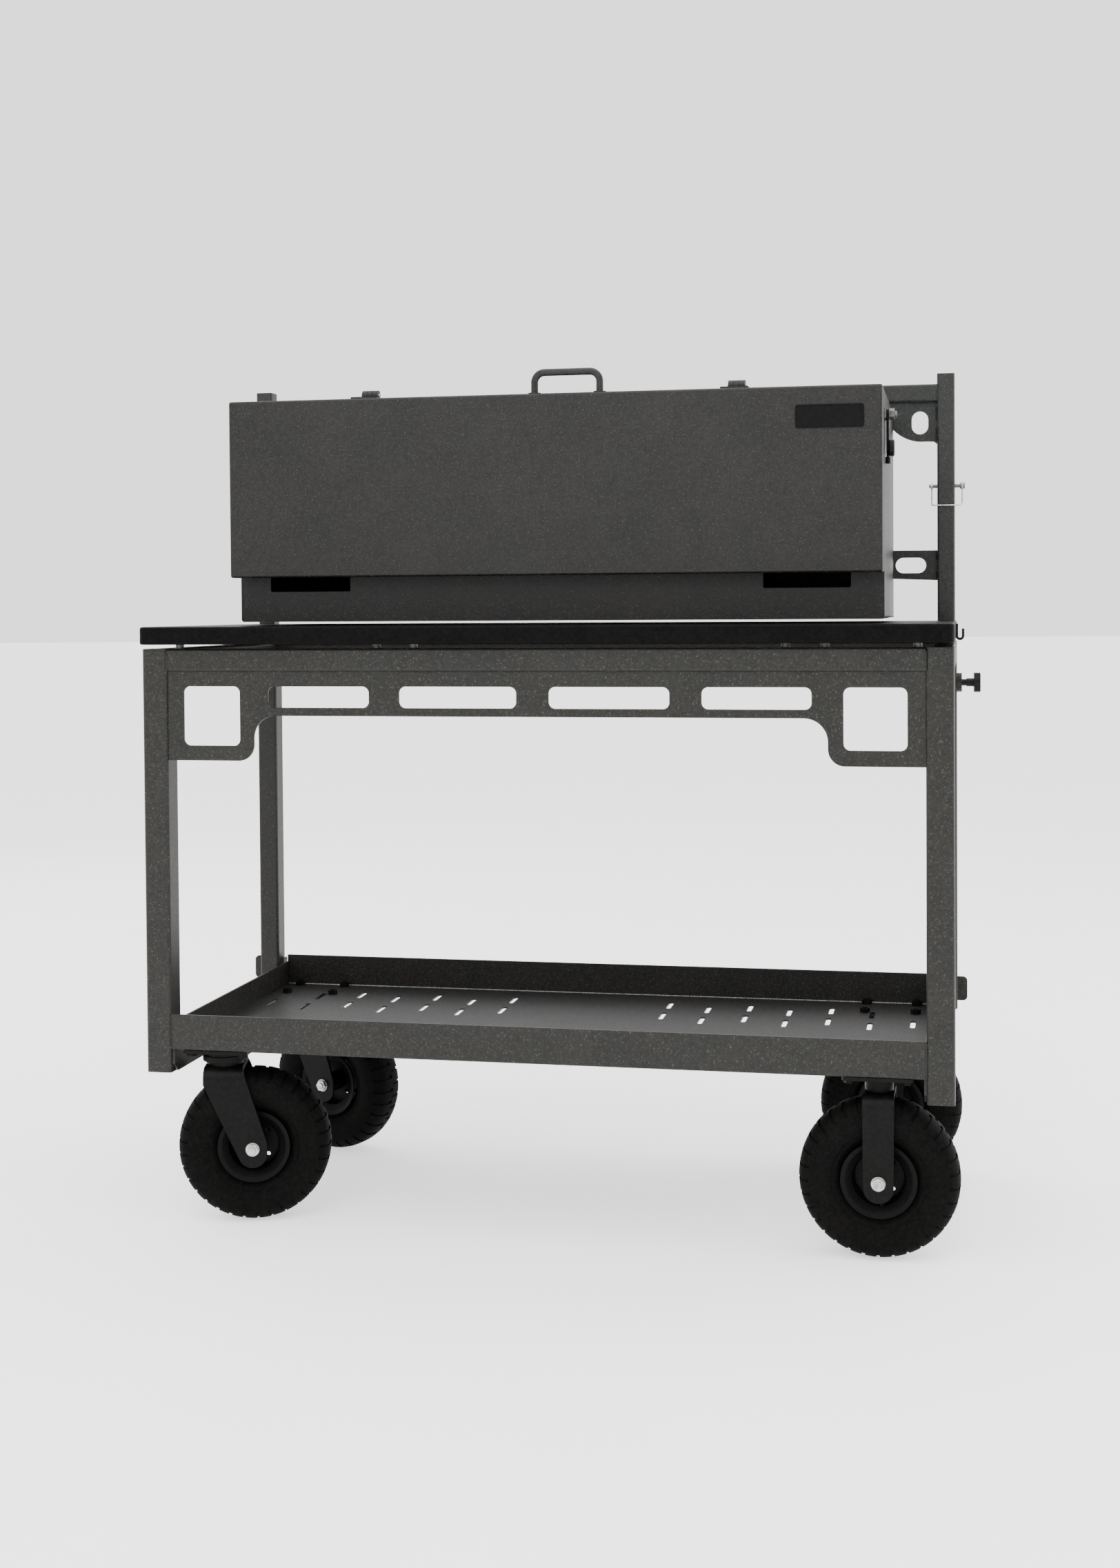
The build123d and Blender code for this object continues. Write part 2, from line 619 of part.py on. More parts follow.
grate_front = chamber_front + 30
grate_back = chamber_back - 20
with BuildPart() as cooking_grates:
    for middle in (-inner_half / 2, inner_half / 2):
        reach = inner_half / 2 - 2
        for bar_y in (grate_front, grate_back):
            with BuildSketch(Plane(origin=(middle - reach, bar_y, grate_z + 4), z_dir=(1, 0, 0))):
                Circle(4)
            extrude(amount=2 * reach)
        with BuildSketch(Plane(origin=(middle, grate_front, grate_z + 4), x_dir=(1, 0, 0), z_dir=(0, 1, 0))):
            with GridLocations(2 * (reach - 6) / 24, 0, 25, 1):
                Circle(2.8)
        extrude(amount=grate_back - grate_front)
keep(cooking_grates, "cooking_grates")

with BuildPart() as ash_pan:
    with BuildSketch(Plane.XY.offset(chamber_bottom + sheet)):
        with Locations((0, chamber_middle)):
            RectangleRounded(2 * inner_half - 40, chamber_depth - 60, 12)
    extrude(amount=32)
    top_face = ash_pan.faces().sort_by(Axis.Z)[-1]
    offset(amount=-2, openings=top_face)
keep(ash_pan, "ash_pan")

# --- hinges between the chamber and its front flap --------------------------------------
axis_y = chamber_front - 1.5
axis_z = chamber_top + hinge_radius
leaf = 3.0
knuckle = 9.0
knuckle_gap = 0.6


def hinge_piece(spans, leaf_start, leaf_end, tongue_way):
    """Knuckles and the welded leaf on one side of both hinges."""
    with BuildPart() as piece:
        for middle in (-hinge_x, hinge_x):
            for start, end in spans:
                with BuildSketch(Plane(origin=(middle + start, axis_y, axis_z), z_dir=(1, 0, 0))):
                    Circle(hinge_radius)
                extrude(amount=end - start)
                with BuildSketch(Plane.XY.offset(chamber_top)):
                    with Locations((middle + (start + end) / 2, axis_y + tongue_way * 6)):
                        Rectangle(end - start, 12)
                extrude(amount=leaf)
            with BuildSketch(Plane.XY.offset(chamber_top)):
                with Locations((middle, (leaf_start + leaf_end) / 2)):
                    RectangleRounded(47, abs(leaf_end - leaf_start), 3)
            extrude(amount=leaf)
        with BuildSketch(Plane(origin=(0, axis_y, axis_z), z_dir=(1, 0, 0))):
            Circle(hinge_pin / 2 + 0.06)
        extrude(amount=2 * hinge_x, both=True, mode=Mode.SUBTRACT)
    return piece


outer_knuckle = knuckle / 2 + knuckle_gap
flap_hinge_leaves = hinge_piece([(-knuckle / 2, knuckle / 2)], flap_front + 5, axis_y - 10.5, -1)
keep(flap_hinge_leaves, "flap_hinge_leaves")
chamber_hinge_leaves = hinge_piece([(-outer_knuckle - knuckle, -outer_knuckle),
                                    (outer_knuckle, outer_knuckle + knuckle)], axis_y + 10.5, axis_y + 42, 1)
keep(chamber_hinge_leaves, "chamber_hinge_leaves")
with BuildPart() as hinge_pins:
    for middle in (-hinge_x, hinge_x):
        pin_start = middle - outer_knuckle - knuckle - 2
        with BuildSketch(Plane(origin=(pin_start, axis_y, axis_z), z_dir=(1, 0, 0))):
            Circle(hinge_pin / 2)
        extrude(amount=2 * (middle - pin_start))
        with BuildSketch(Plane(origin=(pin_start, axis_y, axis_z), z_dir=(1, 0, 0))):
            Circle(hinge_pin / 2 + 1.5)
        extrude(amount=1.9)
keep(hinge_pins, "hinge_pins")

# --- front flap ---------------------------------------------------------------------------
with BuildPart() as flap_panel:
    with BuildSketch(Plane.XY.offset(flap_bottom)):
        with Locations((0, (flap_front + flap_back) / 2)):
            Rectangle(2 * chamber_half_width, flap_back - flap_front)
    extrude(amount=chamber_top - flap_bottom)
    fillet(flap_panel.edges().filter_by(Axis.Z).group_by(Axis.Y)[0], 4)
    fillet(flap_panel.edges().filter_by(Axis.X).group_by(Axis.Y)[0], 4)
    with BuildSketch(Plane.XY.offset(flap_bottom + sheet)):
        with Locations((0, (flap_front + sheet + flap_back + 1) / 2)):
            Rectangle(2 * inner_half, flap_back - flap_front - sheet + 1)
    extrude(amount=chamber_top - flap_bottom - 2 * sheet, mode=Mode.SUBTRACT)
    with BuildSketch(Plane.XY.offset(flap_bottom)):
        with Locations((0, (flap_front + 22 + flap_back + 1) / 2)):
            Rectangle(2 * inner_half, flap_back - flap_front - 22 + 1)
    extrude(amount=sheet, mode=Mode.SUBTRACT)
keep(flap_panel, "flap_panel")

handle_y = flap_front + 14
handle_z = chamber_top + handle_height - handle_rod / 2
with BuildPart() as flap_handle:
    with BuildLine(Plane(origin=(handle_x, handle_y, 0), x_dir=(1, 0, 0), z_dir=(0, -1, 0))):
        FilletPolyline((-handle_span / 2, chamber_top + 2), (-handle_span / 2, handle_z),
                       (handle_span / 2, handle_z),
                       (handle_span / 2, chamber_top + 2), radius=17)
    with BuildSketch(Plane.XY.offset(chamber_top + 2)):
        with Locations((handle_x - handle_span / 2, handle_y)):
            Circle(handle_rod / 2)
    sweep()
    with BuildSketch(Plane.XY.offset(chamber_top)):
        with Locations((handle_x - handle_span / 2, handle_y), (handle_x + handle_span / 2, handle_y)):
            Circle(11)
    extrude(amount=2)
keep(flap_handle, "flap_handle")

with BuildPart() as maker_plate:
    with BuildSketch(Plane(origin=(476, flap_front, 1354), x_dir=(1, 0, 0), z_dir=(0, -1, 0))):
        RectangleRounded(112, 38, 4)
    extrude(amount=2)
keep(maker_plate, "maker_plate")

# --- stay that props the flap, on the right end ---------------------------------------------
stay_z = 1362.0
stay_drop = 56.0
with BuildPart() as stay_bolt:
    with BuildSketch(Plane(origin=(chamber_half_width, stay_y, stay_z), z_dir=(1, 0, 0))):
        Circle(11)
    extrude(amount=2.5)
    with BuildSketch(Plane(origin=(chamber_half_width, stay_y, stay_z), z_dir=(1, 0, 0))):
        Circle(5)
    extrude(amount=20)
    with BuildSketch(Plane(origin=(chamber_half_width + 7.5, stay_y, stay_z), z_dir=(1, 0, 0))):
        RegularPolygon(8.5, 6, major_radius=False)
    extrude(amount=8.5)
keep(stay_bolt, "stay_bolt")
with BuildPart() as stay_arm:
    stay_pivot = (chamber_half_width + 2.9, stay_y, stay_z)
    with BuildSketch(Plane(origin=stay_pivot, x_dir=(0, 1, 0), z_dir=(1, 0, 0))):
        with Locations((0, -stay_drop / 2)):
            SlotOverall(stay_drop + 18, 18, rotation=90)
        Circle(5.06, mode=Mode.SUBTRACT)
    extrude(amount=4)
    with BuildSketch(Plane.XY.offset(stay_z - stay_drop - 8)):
        with Locations((chamber_half_width + 4.9, stay_y)):
            Circle(1.9)
    extrude(amount=-8)
    with BuildSketch(Plane.XY.offset(stay_z - stay_drop - 15)):
        with Locations((chamber_half_width + 4.9, stay_y)):
            Circle(4.2)
    extrude(amount=-11)
keep(stay_arm, "stay_arm")
with BuildPart() as stay_knob:
    with BuildSketch(Plane(origin=(chamber_half_width + 6.9, stay_y, stay_z - stay_drop), z_dir=(1, 0, 0))):
        Circle(14)
    extrude(amount=9)
    fillet(stay_knob.edges().filter_by(GeomType.CIRCLE), 2)
keep(stay_knob, "stay_knob")

# --- lock pins with their wire bails ----------------------------------------------------------
post_front_face = post_y - post_tube / 2
bail_y = post_front_face - running_gap - 1.5
bail_z = pin_height - 36.0
for side, sign in (("left", -1), ("right", 1)):
    tip_x = sign * (post_x - 31)
    head_x = sign * (post_x + 31)
    with BuildPart() as lock_pin:
        with BuildSketch(Plane(origin=(tip_x, post_y, pin_height), z_dir=(sign, 0, 0))):
            Circle(pin_diameter / 2)
        extrude(amount=62)
        with BuildSketch(Plane(origin=(head_x - sign * 6, post_y, pin_height), z_dir=(sign, 0, 0))):
            Circle(5.5)
        extrude(amount=9)
        chamfer(lock_pin.edges().filter_by(GeomType.CIRCLE).sort_by(Axis.X)[0 if sign > 0 else -1], 1.2)
    keep(lock_pin, f"lock_pin_{side}")
    swing = Vector(0, bail_y - post_y, bail_z - pin_height).normalized()
    tip_ring = Vector(tip_x + sign * 5, post_y, pin_height)
    head_ring = Vector(head_x - sign * 1.5, post_y, pin_height)
    bar_a = Vector(tip_ring.X, bail_y, bail_z)
    bar_b = Vector(head_ring.X, bail_y, bail_z)
    with BuildPart() as pin_bail:
        with BuildLine():
            FilletPolyline(tip_ring + swing * 4.6, bar_a, bar_b, head_ring + swing * 6.9, radius=5)
        with BuildSketch(Plane(origin=tip_ring + swing * 4.6, z_dir=swing)):
            Circle(1.4)
        sweep()
        for ring, hole in ((tip_ring, pin_diameter / 2), (head_ring, 5.5)):
            with BuildSketch(Plane(origin=ring - Vector(1.5 * sign, 0, 0), z_dir=(sign, 0, 0))):
                Circle(hole + 2.6)
                Circle(hole, mode=Mode.SUBTRACT)
            extrude(amount=3)
    keep(pin_bail, f"pin_bail_{side}")

# --- clamp screws on the rear legs --------------------------------------------------------------
with BuildPart() as clamp_bosses:
    for sign in (-1, 1):
        with BuildSketch(Plane(origin=(sign * half, post_y, clamp_height), z_dir=(sign, 0, 0))):
            Circle(17.5)
            Circle(6.06, mode=Mode.SUBTRACT)
        extrude(amount=9)
keep(clamp_bosses, "clamp_bosses")
for side, sign in (("left", -1), ("right", 1)):
    tip = sign * (post_x + post_tube / 2 + running_gap)
    with BuildPart() as clamp_knob:
        with BuildSketch(Plane(origin=(tip, post_y, clamp_height), z_dir=(sign, 0, 0))):
            Circle(6)
        extrude(amount=abs(sign * (half + 20) - tip))
        with BuildSketch(Plane(origin=(sign * (half + 17), post_y, clamp_height), z_dir=(sign, 0, 0))):
            Circle(7.5)
        extrude(amount=14)
        with BuildSketch(Plane(origin=(sign * (half + 30.5), post_y, clamp_height), z_dir=(sign, 0, 0))):
            Circle(18.3)
            with PolarLocations(20.5, 8):
                Circle(4.4, mode=Mode.SUBTRACT)
        extrude(amount=12.4)
        chamfer(clamp_knob.edges().group_by(Axis.X)[-1 if sign > 0 else 0], 1.2)
    keep(clamp_knob, f"clamp_knob_{side}")
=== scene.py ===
import json
import math
import bpy
import bmesh
from mathutils import Matrix, Vector


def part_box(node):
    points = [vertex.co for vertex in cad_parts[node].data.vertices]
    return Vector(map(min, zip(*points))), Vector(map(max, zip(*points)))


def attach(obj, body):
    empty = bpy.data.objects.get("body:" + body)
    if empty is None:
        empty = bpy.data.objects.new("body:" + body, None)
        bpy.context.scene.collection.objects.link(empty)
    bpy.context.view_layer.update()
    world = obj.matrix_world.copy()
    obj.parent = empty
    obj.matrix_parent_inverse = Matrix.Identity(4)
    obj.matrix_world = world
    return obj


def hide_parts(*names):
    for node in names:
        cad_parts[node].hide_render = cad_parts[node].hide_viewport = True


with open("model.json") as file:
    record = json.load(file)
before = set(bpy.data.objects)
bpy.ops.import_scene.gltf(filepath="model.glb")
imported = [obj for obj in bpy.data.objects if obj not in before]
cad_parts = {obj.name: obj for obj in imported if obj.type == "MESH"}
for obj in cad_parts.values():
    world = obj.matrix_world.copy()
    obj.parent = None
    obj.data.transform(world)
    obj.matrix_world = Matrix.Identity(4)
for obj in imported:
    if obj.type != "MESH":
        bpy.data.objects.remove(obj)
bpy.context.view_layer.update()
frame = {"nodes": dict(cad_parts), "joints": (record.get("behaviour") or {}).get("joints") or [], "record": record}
nodes = frame["nodes"]
print("frame loaded:", len(nodes), "nodes")


# small tools used all through

def clearSelection():
    if bpy.context.object and bpy.context.object.mode != "OBJECT":
        bpy.ops.object.mode_set(mode="OBJECT")
    bpy.ops.object.select_all(action="DESELECT")


def selectOnly(piece):
    clearSelection()
    piece.select_set(True)
    bpy.context.view_layer.objects.active = piece


def named(name):
    piece = bpy.context.object
    piece.name = name
    piece.data.name = name
    return piece


def pick(piece, kind, test):
    # leaves the piece in edit mode with only the faces or edges that pass the test selected
    selectOnly(piece)
    bpy.ops.object.mode_set(mode="EDIT")
    bpy.ops.mesh.select_mode(type=kind)
    bpy.ops.mesh.select_all(action="DESELECT")
    mesh = bmesh.from_edit_mesh(piece.data)
    for part in (mesh.faces if kind == "FACE" else mesh.edges):
        if test(part):
            part.select_set(True)
    bmesh.update_edit_mesh(piece.data)


def push(x, y, z):
    # extrudes the selected faces by a step
    bpy.ops.mesh.extrude_region_move(TRANSFORM_OT_translate={"value": (x, y, z)})


def swell(amount):
    # extrudes the selected faces along their normals, and inwards if the amount is negative
    bpy.ops.mesh.extrude_region_shrink_fatten(TRANSFORM_OT_shrink_fatten={"value": amount})


def leaveEdit():
    bpy.ops.object.mode_set(mode="OBJECT")


def applyModifiers(piece):
    selectOnly(piece)
    for modifier in list(piece.modifiers):
        bpy.ops.object.modifier_apply(modifier=modifier.name)


def settle(piece):
    # the object goes back to the origin, with its place kept in its mesh
    selectOnly(piece)
    bpy.ops.object.transform_apply(location=True, rotation=True, scale=True)


def copyOf(piece, name):
    twin = piece.copy()
    twin.data = piece.data.copy()
    twin.name = name
    twin.data.name = name
    bpy.context.scene.collection.objects.link(twin)
    return twin


def joined(pieces, name):
    clearSelection()
    for piece in pieces:
        piece.select_set(True)
    bpy.context.view_layer.objects.active = pieces[0]
    bpy.ops.object.join()
    return named(name)


def smooth(piece, degrees):
    selectOnly(piece)
    bpy.ops.object.shade_smooth_by_angle(angle=math.radians(degrees))


# camera

cameraSettings = {
    "place": (0.6995, -3.2177, 1.0450), "turnLeft": 10.74, "tiltUp": -1.429, "roll": -0.366,
    "lens": 42.72, "sensor": 36, "shift": (-0.0360, -0.0835), "farEnd": 60,
}


def turned(degrees, axis):
    return Matrix.Rotation(math.radians(degrees), 3, axis)


bpy.ops.object.camera_add(location=cameraSettings["place"])
camera = bpy.context.object
camera.name = "showCamera"
camera.rotation_euler = (turned(cameraSettings["turnLeft"], "Z")
                         @ turned(90 + cameraSettings["tiltUp"], "X")
                         @ turned(cameraSettings["roll"], "Z")).to_euler()
camera.data.lens = cameraSettings["lens"]
camera.data.sensor_width = cameraSettings["sensor"]
camera.data.shift_x, camera.data.shift_y = cameraSettings["shift"]
camera.data.clip_end = cameraSettings["farEnd"]
bpy.context.scene.camera = camera
print("camera set")


# tools for node trees

def feed(tree, value, socket):
    # a value is another node's socket, or a plain number or colour
    if isinstance(value, bpy.types.NodeSocket):
        tree.links.new(value, socket)
    else:
        socket.default_value = value


def nodeIn(tree, kind, **values):
    made = tree.nodes.new(kind)
    for key, value in values.items():
        if key in ("operation", "data_type", "feature", "blend_type"):
            setattr(made, key, value)
        else:
            made.inputs[key].default_value = value
    return made


def objectPlace(tree):
    return tree.nodes.new("ShaderNodeTexCoord").outputs["Object"]


def noise(tree, place, scale, detail, roughness):
    made = nodeIn(tree, "ShaderNodeTexNoise", Detail=detail, Roughness=roughness)
    feed(tree, place, made.inputs["Vector"])
    feed(tree, scale, made.inputs["Scale"])
    return made.outputs["Fac"]


def ranged(tree, value, fromRange, toRange=(0.0, 1.0)):
    made = tree.nodes.new("ShaderNodeMapRange")
    feed(tree, value, made.inputs["Value"])
    for label, number in zip(("From Min", "From Max", "To Min", "To Max"), (*fromRange, *toRange)):
        made.inputs[label].default_value = number
    return made.outputs["Result"]


def calculated(tree, operation, *values):
    made = nodeIn(tree, "ShaderNodeMath", operation=operation)
    for index, value in enumerate(values):
        feed(tree, value, made.inputs[index])
    return made.outputs[0]


def mixedColor(tree, factor, first, second, way="MIX"):
    # the colour sockets of a mix node are its seventh and eighth, and its third output
    made = nodeIn(tree, "ShaderNodeMix", data_type="RGBA", blend_type=way)
    feed(tree, factor, made.inputs[0])
    feed(tree, first, made.inputs[6])
    feed(tree, second, made.inputs[7])
    return made.outputs[2]


# shader groups shared by several finishes

def newGroup(name, inputs, outputs):
    # one number makes a float input, three make a vector and four a colour
    group = bpy.data.node_groups.new(name, "ShaderNodeTree")
    for label, value in inputs.items():
        count = 1 if isinstance(value, float) else len(value)
        kind = {1: "NodeSocketFloat", 3: "NodeSocketVector", 4: "NodeSocketColor"}[count]
        made = group.interface.new_socket(name=label, in_out="INPUT", socket_type=kind)
        made.default_value = value
    for label in outputs:
        kind = "NodeSocketColor" if label == "Color" else "NodeSocketFloat"
        group.interface.new_socket(name=label, in_out="OUTPUT", socket_type=kind)
    entry = group.nodes.new("NodeGroupInput")
    leave = group.nodes.new("NodeGroupOutput")
    return group, entry.outputs, leave.inputs


hammerSettings = {
    "driftScale": 5.5, "driftShare": 0.3, "toneFrom": (0.5, 0.8), "fleckFrom": (0.57, 0.74),
    "pitFrom": (0.44, 0.3), "pitColor": (0.001, 0.001, 0.001, 1), "hueScale": 11.0, "hueFrom": (0.38, 0.62),
    "dimpleShare": 0.7, "roughFrom": (0.35, 0.65), "roughTo": (0.36, 0.52),
}


def hammerGroup(s):
    # hammered powder coat: soft dimples, light flecks, dark pits and slow drifts of tone and hue
    group, given, leave = newGroup("hammerCoat", {
        "Dimple Scale": 380.0, "Fleck Scale": 330.0, "Mottle Scale": 130.0, "Flecks": 0.35, "Pits": 0.55,
        "Dark": (0.05, 0.05, 0.045, 1), "Light": (0.1, 0.1, 0.09, 1), "Fleck Color": (0.3, 0.3, 0.28, 1),
        "Warm Tint": (1.06, 0.985, 0.955, 1), "Cool Tint": (0.95, 1.015, 1.01, 1),
    }, ("Color", "Height", "Roughness"))
    place = objectPlace(group)
    drift = noise(group, place, s["driftScale"], 5.0, 0.6)
    hue = noise(group, place, s["hueScale"], 5.0, 0.6)
    mottle = noise(group, place, given["Mottle Scale"], 3.0, 0.7)
    grain = noise(group, place, given["Fleck Scale"], 3.0, 0.65)
    dimple = nodeIn(group, "ShaderNodeTexVoronoi", feature="SMOOTH_F1", Smoothness=0.6, Randomness=1.0)
    feed(group, place, dimple.inputs["Vector"])
    feed(group, given["Dimple Scale"], dimple.inputs["Scale"])

    tone = ranged(group, calculated(group, "MULTIPLY_ADD", drift, s["driftShare"], mottle), s["toneFrom"])
    body = mixedColor(group, tone, given["Dark"], given["Light"])
    flecks = calculated(group, "MULTIPLY", ranged(group, grain, s["fleckFrom"]), given["Flecks"])
    flecked = mixedColor(group, flecks, body, given["Fleck Color"])
    pits = calculated(group, "MULTIPLY", ranged(group, grain, s["pitFrom"]), given["Pits"])
    pitted = mixedColor(group, pits, flecked, s["pitColor"])
    tint = mixedColor(group, ranged(group, hue, s["hueFrom"]), given["Cool Tint"], given["Warm Tint"])
    height = calculated(group, "MULTIPLY_ADD", dimple.outputs["Distance"], s["dimpleShare"], grain)
    feed(group, mixedColor(group, 1.0, pitted, tint, "MULTIPLY"), leave["Color"])
    feed(group, height, leave["Height"])
    feed(group, ranged(group, grain, s["roughFrom"], s["roughTo"]), leave["Roughness"])
    return group


dustSettings = {"patchFrom": (0.42, 0.72), "upwardFrom": (0.35, 0.95), "upwardTo": (0.25, 1.0)}


def dustGroup(s):
    # pale dust that lies on upward faces and in slow patches
    group, given, leave = newGroup("settledDust", {
        "Color": (0.1, 0.1, 0.1, 1), "Dust": (0.2, 0.195, 0.18, 1), "Amount": 0.2, "Scale": 14.0,
    }, ("Color",))
    patch = noise(group, objectPlace(group), given["Scale"], 8.0, 0.7)
    face = group.nodes.new("ShaderNodeNewGeometry")
    split = group.nodes.new("ShaderNodeSeparateXYZ")
    feed(group, face.outputs["Normal"], split.inputs[0])
    upward = ranged(group, split.outputs["Z"], s["upwardFrom"], s["upwardTo"])
    lying = calculated(group, "MULTIPLY", upward, ranged(group, patch, s["patchFrom"]))
    amount = calculated(group, "MULTIPLY", lying, given["Amount"])
    feed(group, mixedColor(group, amount, given["Color"], given["Dust"]), leave["Color"])
    return group


worksSettings = {
    "cloudScale": 90.0, "stainFrom": (0.4, 0.7), "roughFrom": (0.3, 0.7), "roughTo": (0.22, 0.48),
}


def worksGroup(s):
    # worked metal: fine drawn lines along one way, with cloudy tarnish
    group, given, leave = newGroup("workedMetal", {
        "Stretch": (1.0, 1.0, 30.0), "Scale": 60.0,
        "Clean": (0.6, 0.6, 0.58, 1), "Tarnish": (0.3, 0.3, 0.27, 1),
    }, ("Color", "Height", "Roughness"))
    place = objectPlace(group)
    stretch = nodeIn(group, "ShaderNodeVectorMath", operation="MULTIPLY")
    feed(group, place, stretch.inputs[0])
    feed(group, given["Stretch"], stretch.inputs[1])
    lines = noise(group, stretch.outputs[0], given["Scale"], 4.0, 0.6)
    cloud = noise(group, place, s["cloudScale"], 5.0, 0.65)
    stain = ranged(group, cloud, s["stainFrom"])
    feed(group, mixedColor(group, stain, given["Clean"], given["Tarnish"]), leave["Color"])
    feed(group, lines, leave["Height"])
    feed(group, ranged(group, cloud, s["roughFrom"], s["roughTo"]), leave["Roughness"])
    return group


hammerCoat = hammerGroup(hammerSettings)
settledDust = dustGroup(dustSettings)
workedMetal = worksGroup(worksSettings)


# finishes: the first dictionary follows the record's material slots

bumpDepth = {"coat": 0.0006, "metal": 0.0004}


def newMaterial(name):
    material = bpy.data.materials.new(name)
    material.use_nodes = True
    tree = material.node_tree
    return material, tree, tree.nodes["Principled BSDF"]


def useGroup(tree, group, **values):
    made = tree.nodes.new("ShaderNodeGroup")
    made.node_tree = group
    for key, value in values.items():
        made.inputs[key].default_value = value
    return made


def bumpInto(tree, shader, heightSocket, strength, distance):
    bump = tree.nodes.new("ShaderNodeBump")
    bump.inputs["Strength"].default_value = strength
    bump.inputs["Distance"].default_value = distance
    tree.links.new(heightSocket, bump.inputs["Height"])
    tree.links.new(bump.outputs["Normal"], shader.inputs["Normal"])


def coatMaterial(name, dark, light, fleck, flecks=0.4, dust=0.05, bump=0.35, gloss=0.22, dimple=380.0):
    material, tree, shader = newMaterial(name)
    coat = useGroup(tree, hammerCoat, **{
        "Dark": (*dark, 1), "Light": (*light, 1), "Fleck Color": (*fleck, 1), "Flecks": flecks,
        "Dimple Scale": dimple,
    })
    dusty = useGroup(tree, settledDust, Amount=dust)
    tree.links.new(coat.outputs["Color"], dusty.inputs["Color"])
    tree.links.new(dusty.outputs["Color"], shader.inputs["Base Color"])
    tree.links.new(coat.outputs["Roughness"], shader.inputs["Roughness"])
    shader.inputs["Specular IOR Level"].default_value = gloss
    bumpInto(tree, shader, coat.outputs["Height"], bump, bumpDepth["coat"])
    return material


def metalMaterial(name, clean, tarnish, stretch=(1, 1, 30), scale=60.0, metal=1.0, bump=0.15):
    material, tree, shader = newMaterial(name)
    works = useGroup(tree, workedMetal, Clean=(*clean, 1), Tarnish=(*tarnish, 1),
                     Stretch=stretch, Scale=scale)
    tree.links.new(works.outputs["Color"], shader.inputs["Base Color"])
    tree.links.new(works.outputs["Roughness"], shader.inputs["Roughness"])
    shader.inputs["Metallic"].default_value = metal
    bumpInto(tree, shader, works.outputs["Height"], bump, bumpDepth["metal"])
    return material


rubberSettings = {
    "coat": {"Dark": (0.0016, 0.0016, 0.0016, 1), "Light": (0.0036, 0.0036, 0.0034, 1), "Flecks": 0.3,
             "Fleck Color": (0.02, 0.02, 0.018, 1), "Dimple Scale": 260.0, "Fleck Scale": 500.0},
    "dust": {"Amount": 0.02, "Scale": 22.0}, "roughness": 0.68, "gloss": 0.035, "bump": 0.25,
}


def rubberMaterial(s):
    material, tree, shader = newMaterial("tyreRubber")
    coat = useGroup(tree, hammerCoat, **s["coat"])
    dusty = useGroup(tree, settledDust, **s["dust"])
    tree.links.new(coat.outputs["Color"], dusty.inputs["Color"])
    tree.links.new(dusty.outputs["Color"], shader.inputs["Base Color"])
    shader.inputs["Roughness"].default_value = s["roughness"]
    shader.inputs["Specular IOR Level"].default_value = s["gloss"]
    bumpInto(tree, shader, coat.outputs["Height"], s["bump"], bumpDepth["coat"])
    return material


finishes = {
    "frame_coat": coatMaterial(
        "frameCoat", dark=(0.0070, 0.0066, 0.0056), light=(0.0126, 0.0120, 0.0103),
        fleck=(0.12, 0.12, 0.105)),
    "lift_coat": coatMaterial(
        "liftCoat", dark=(0.0110, 0.0118, 0.0108), light=(0.0180, 0.0191, 0.0176),
        fleck=(0.12, 0.13, 0.115)),
    "chamber_coat": coatMaterial(
        "chamberCoat", dark=(0.0036, 0.0033, 0.0030), light=(0.0084, 0.0078, 0.0072),
        fleck=(0.10, 0.095, 0.088),
        flecks=0.45, gloss=0.24),
    "worktop_black": coatMaterial(
        "worktopBlack", dark=(0.0012, 0.0012, 0.0012), light=(0.0030, 0.0030, 0.0030),
        fleck=(0.02, 0.02, 0.02),
        flecks=0.2, dust=0.01, bump=0.5, gloss=0.04, dimple=240.0),
    "caster_steel": coatMaterial(
        "casterBlack", dark=(0.0016, 0.0016, 0.0016), light=(0.0036, 0.0036, 0.0034),
        fleck=(0.02, 0.02, 0.02),
        flecks=0.2, dust=0.02, bump=0.15, gloss=0.08),
    "handle_coat": coatMaterial(
        "handleCoat", dark=(0.0060, 0.0060, 0.0054), light=(0.0145, 0.0140, 0.0125),
        fleck=(0.09, 0.09, 0.08),
        flecks=0.25, dust=0.04, bump=0.2),
    "black_plastic": coatMaterial(
        "knobPlastic", dark=(0.0016, 0.0016, 0.0016), light=(0.0034, 0.0034, 0.0034),
        fleck=(0.02, 0.02, 0.02),
        flecks=0.15, dust=0.02, bump=0.12, gloss=0.15),
    "badge_metal": coatMaterial(
        "plateBlack", dark=(0.0012, 0.0012, 0.0012), light=(0.0026, 0.0026, 0.0026),
        fleck=(0.02, 0.02, 0.02),
        flecks=0.2, dust=0.01, bump=0.1, gloss=0.08),
    "zinc_plate": metalMaterial(
        "zincPlate", clean=(0.46, 0.46, 0.45), tarnish=(0.22, 0.22, 0.205), scale=150.0, bump=0.3),
    "bearing_steel": metalMaterial("bearingSteel", clean=(0.66, 0.66, 0.66), tarnish=(0.42, 0.42, 0.40)),
    "grate_iron": metalMaterial(
        "grateIron", clean=(0.10, 0.095, 0.09), tarnish=(0.05, 0.04, 0.035), metal=0.6, bump=0.5),
    "pan_steel": metalMaterial(
        "panSteel", clean=(0.42, 0.41, 0.39), tarnish=(0.2, 0.18, 0.15), stretch=(30, 1, 1)),
    "tyre_rubber": rubberMaterial(rubberSettings),
}
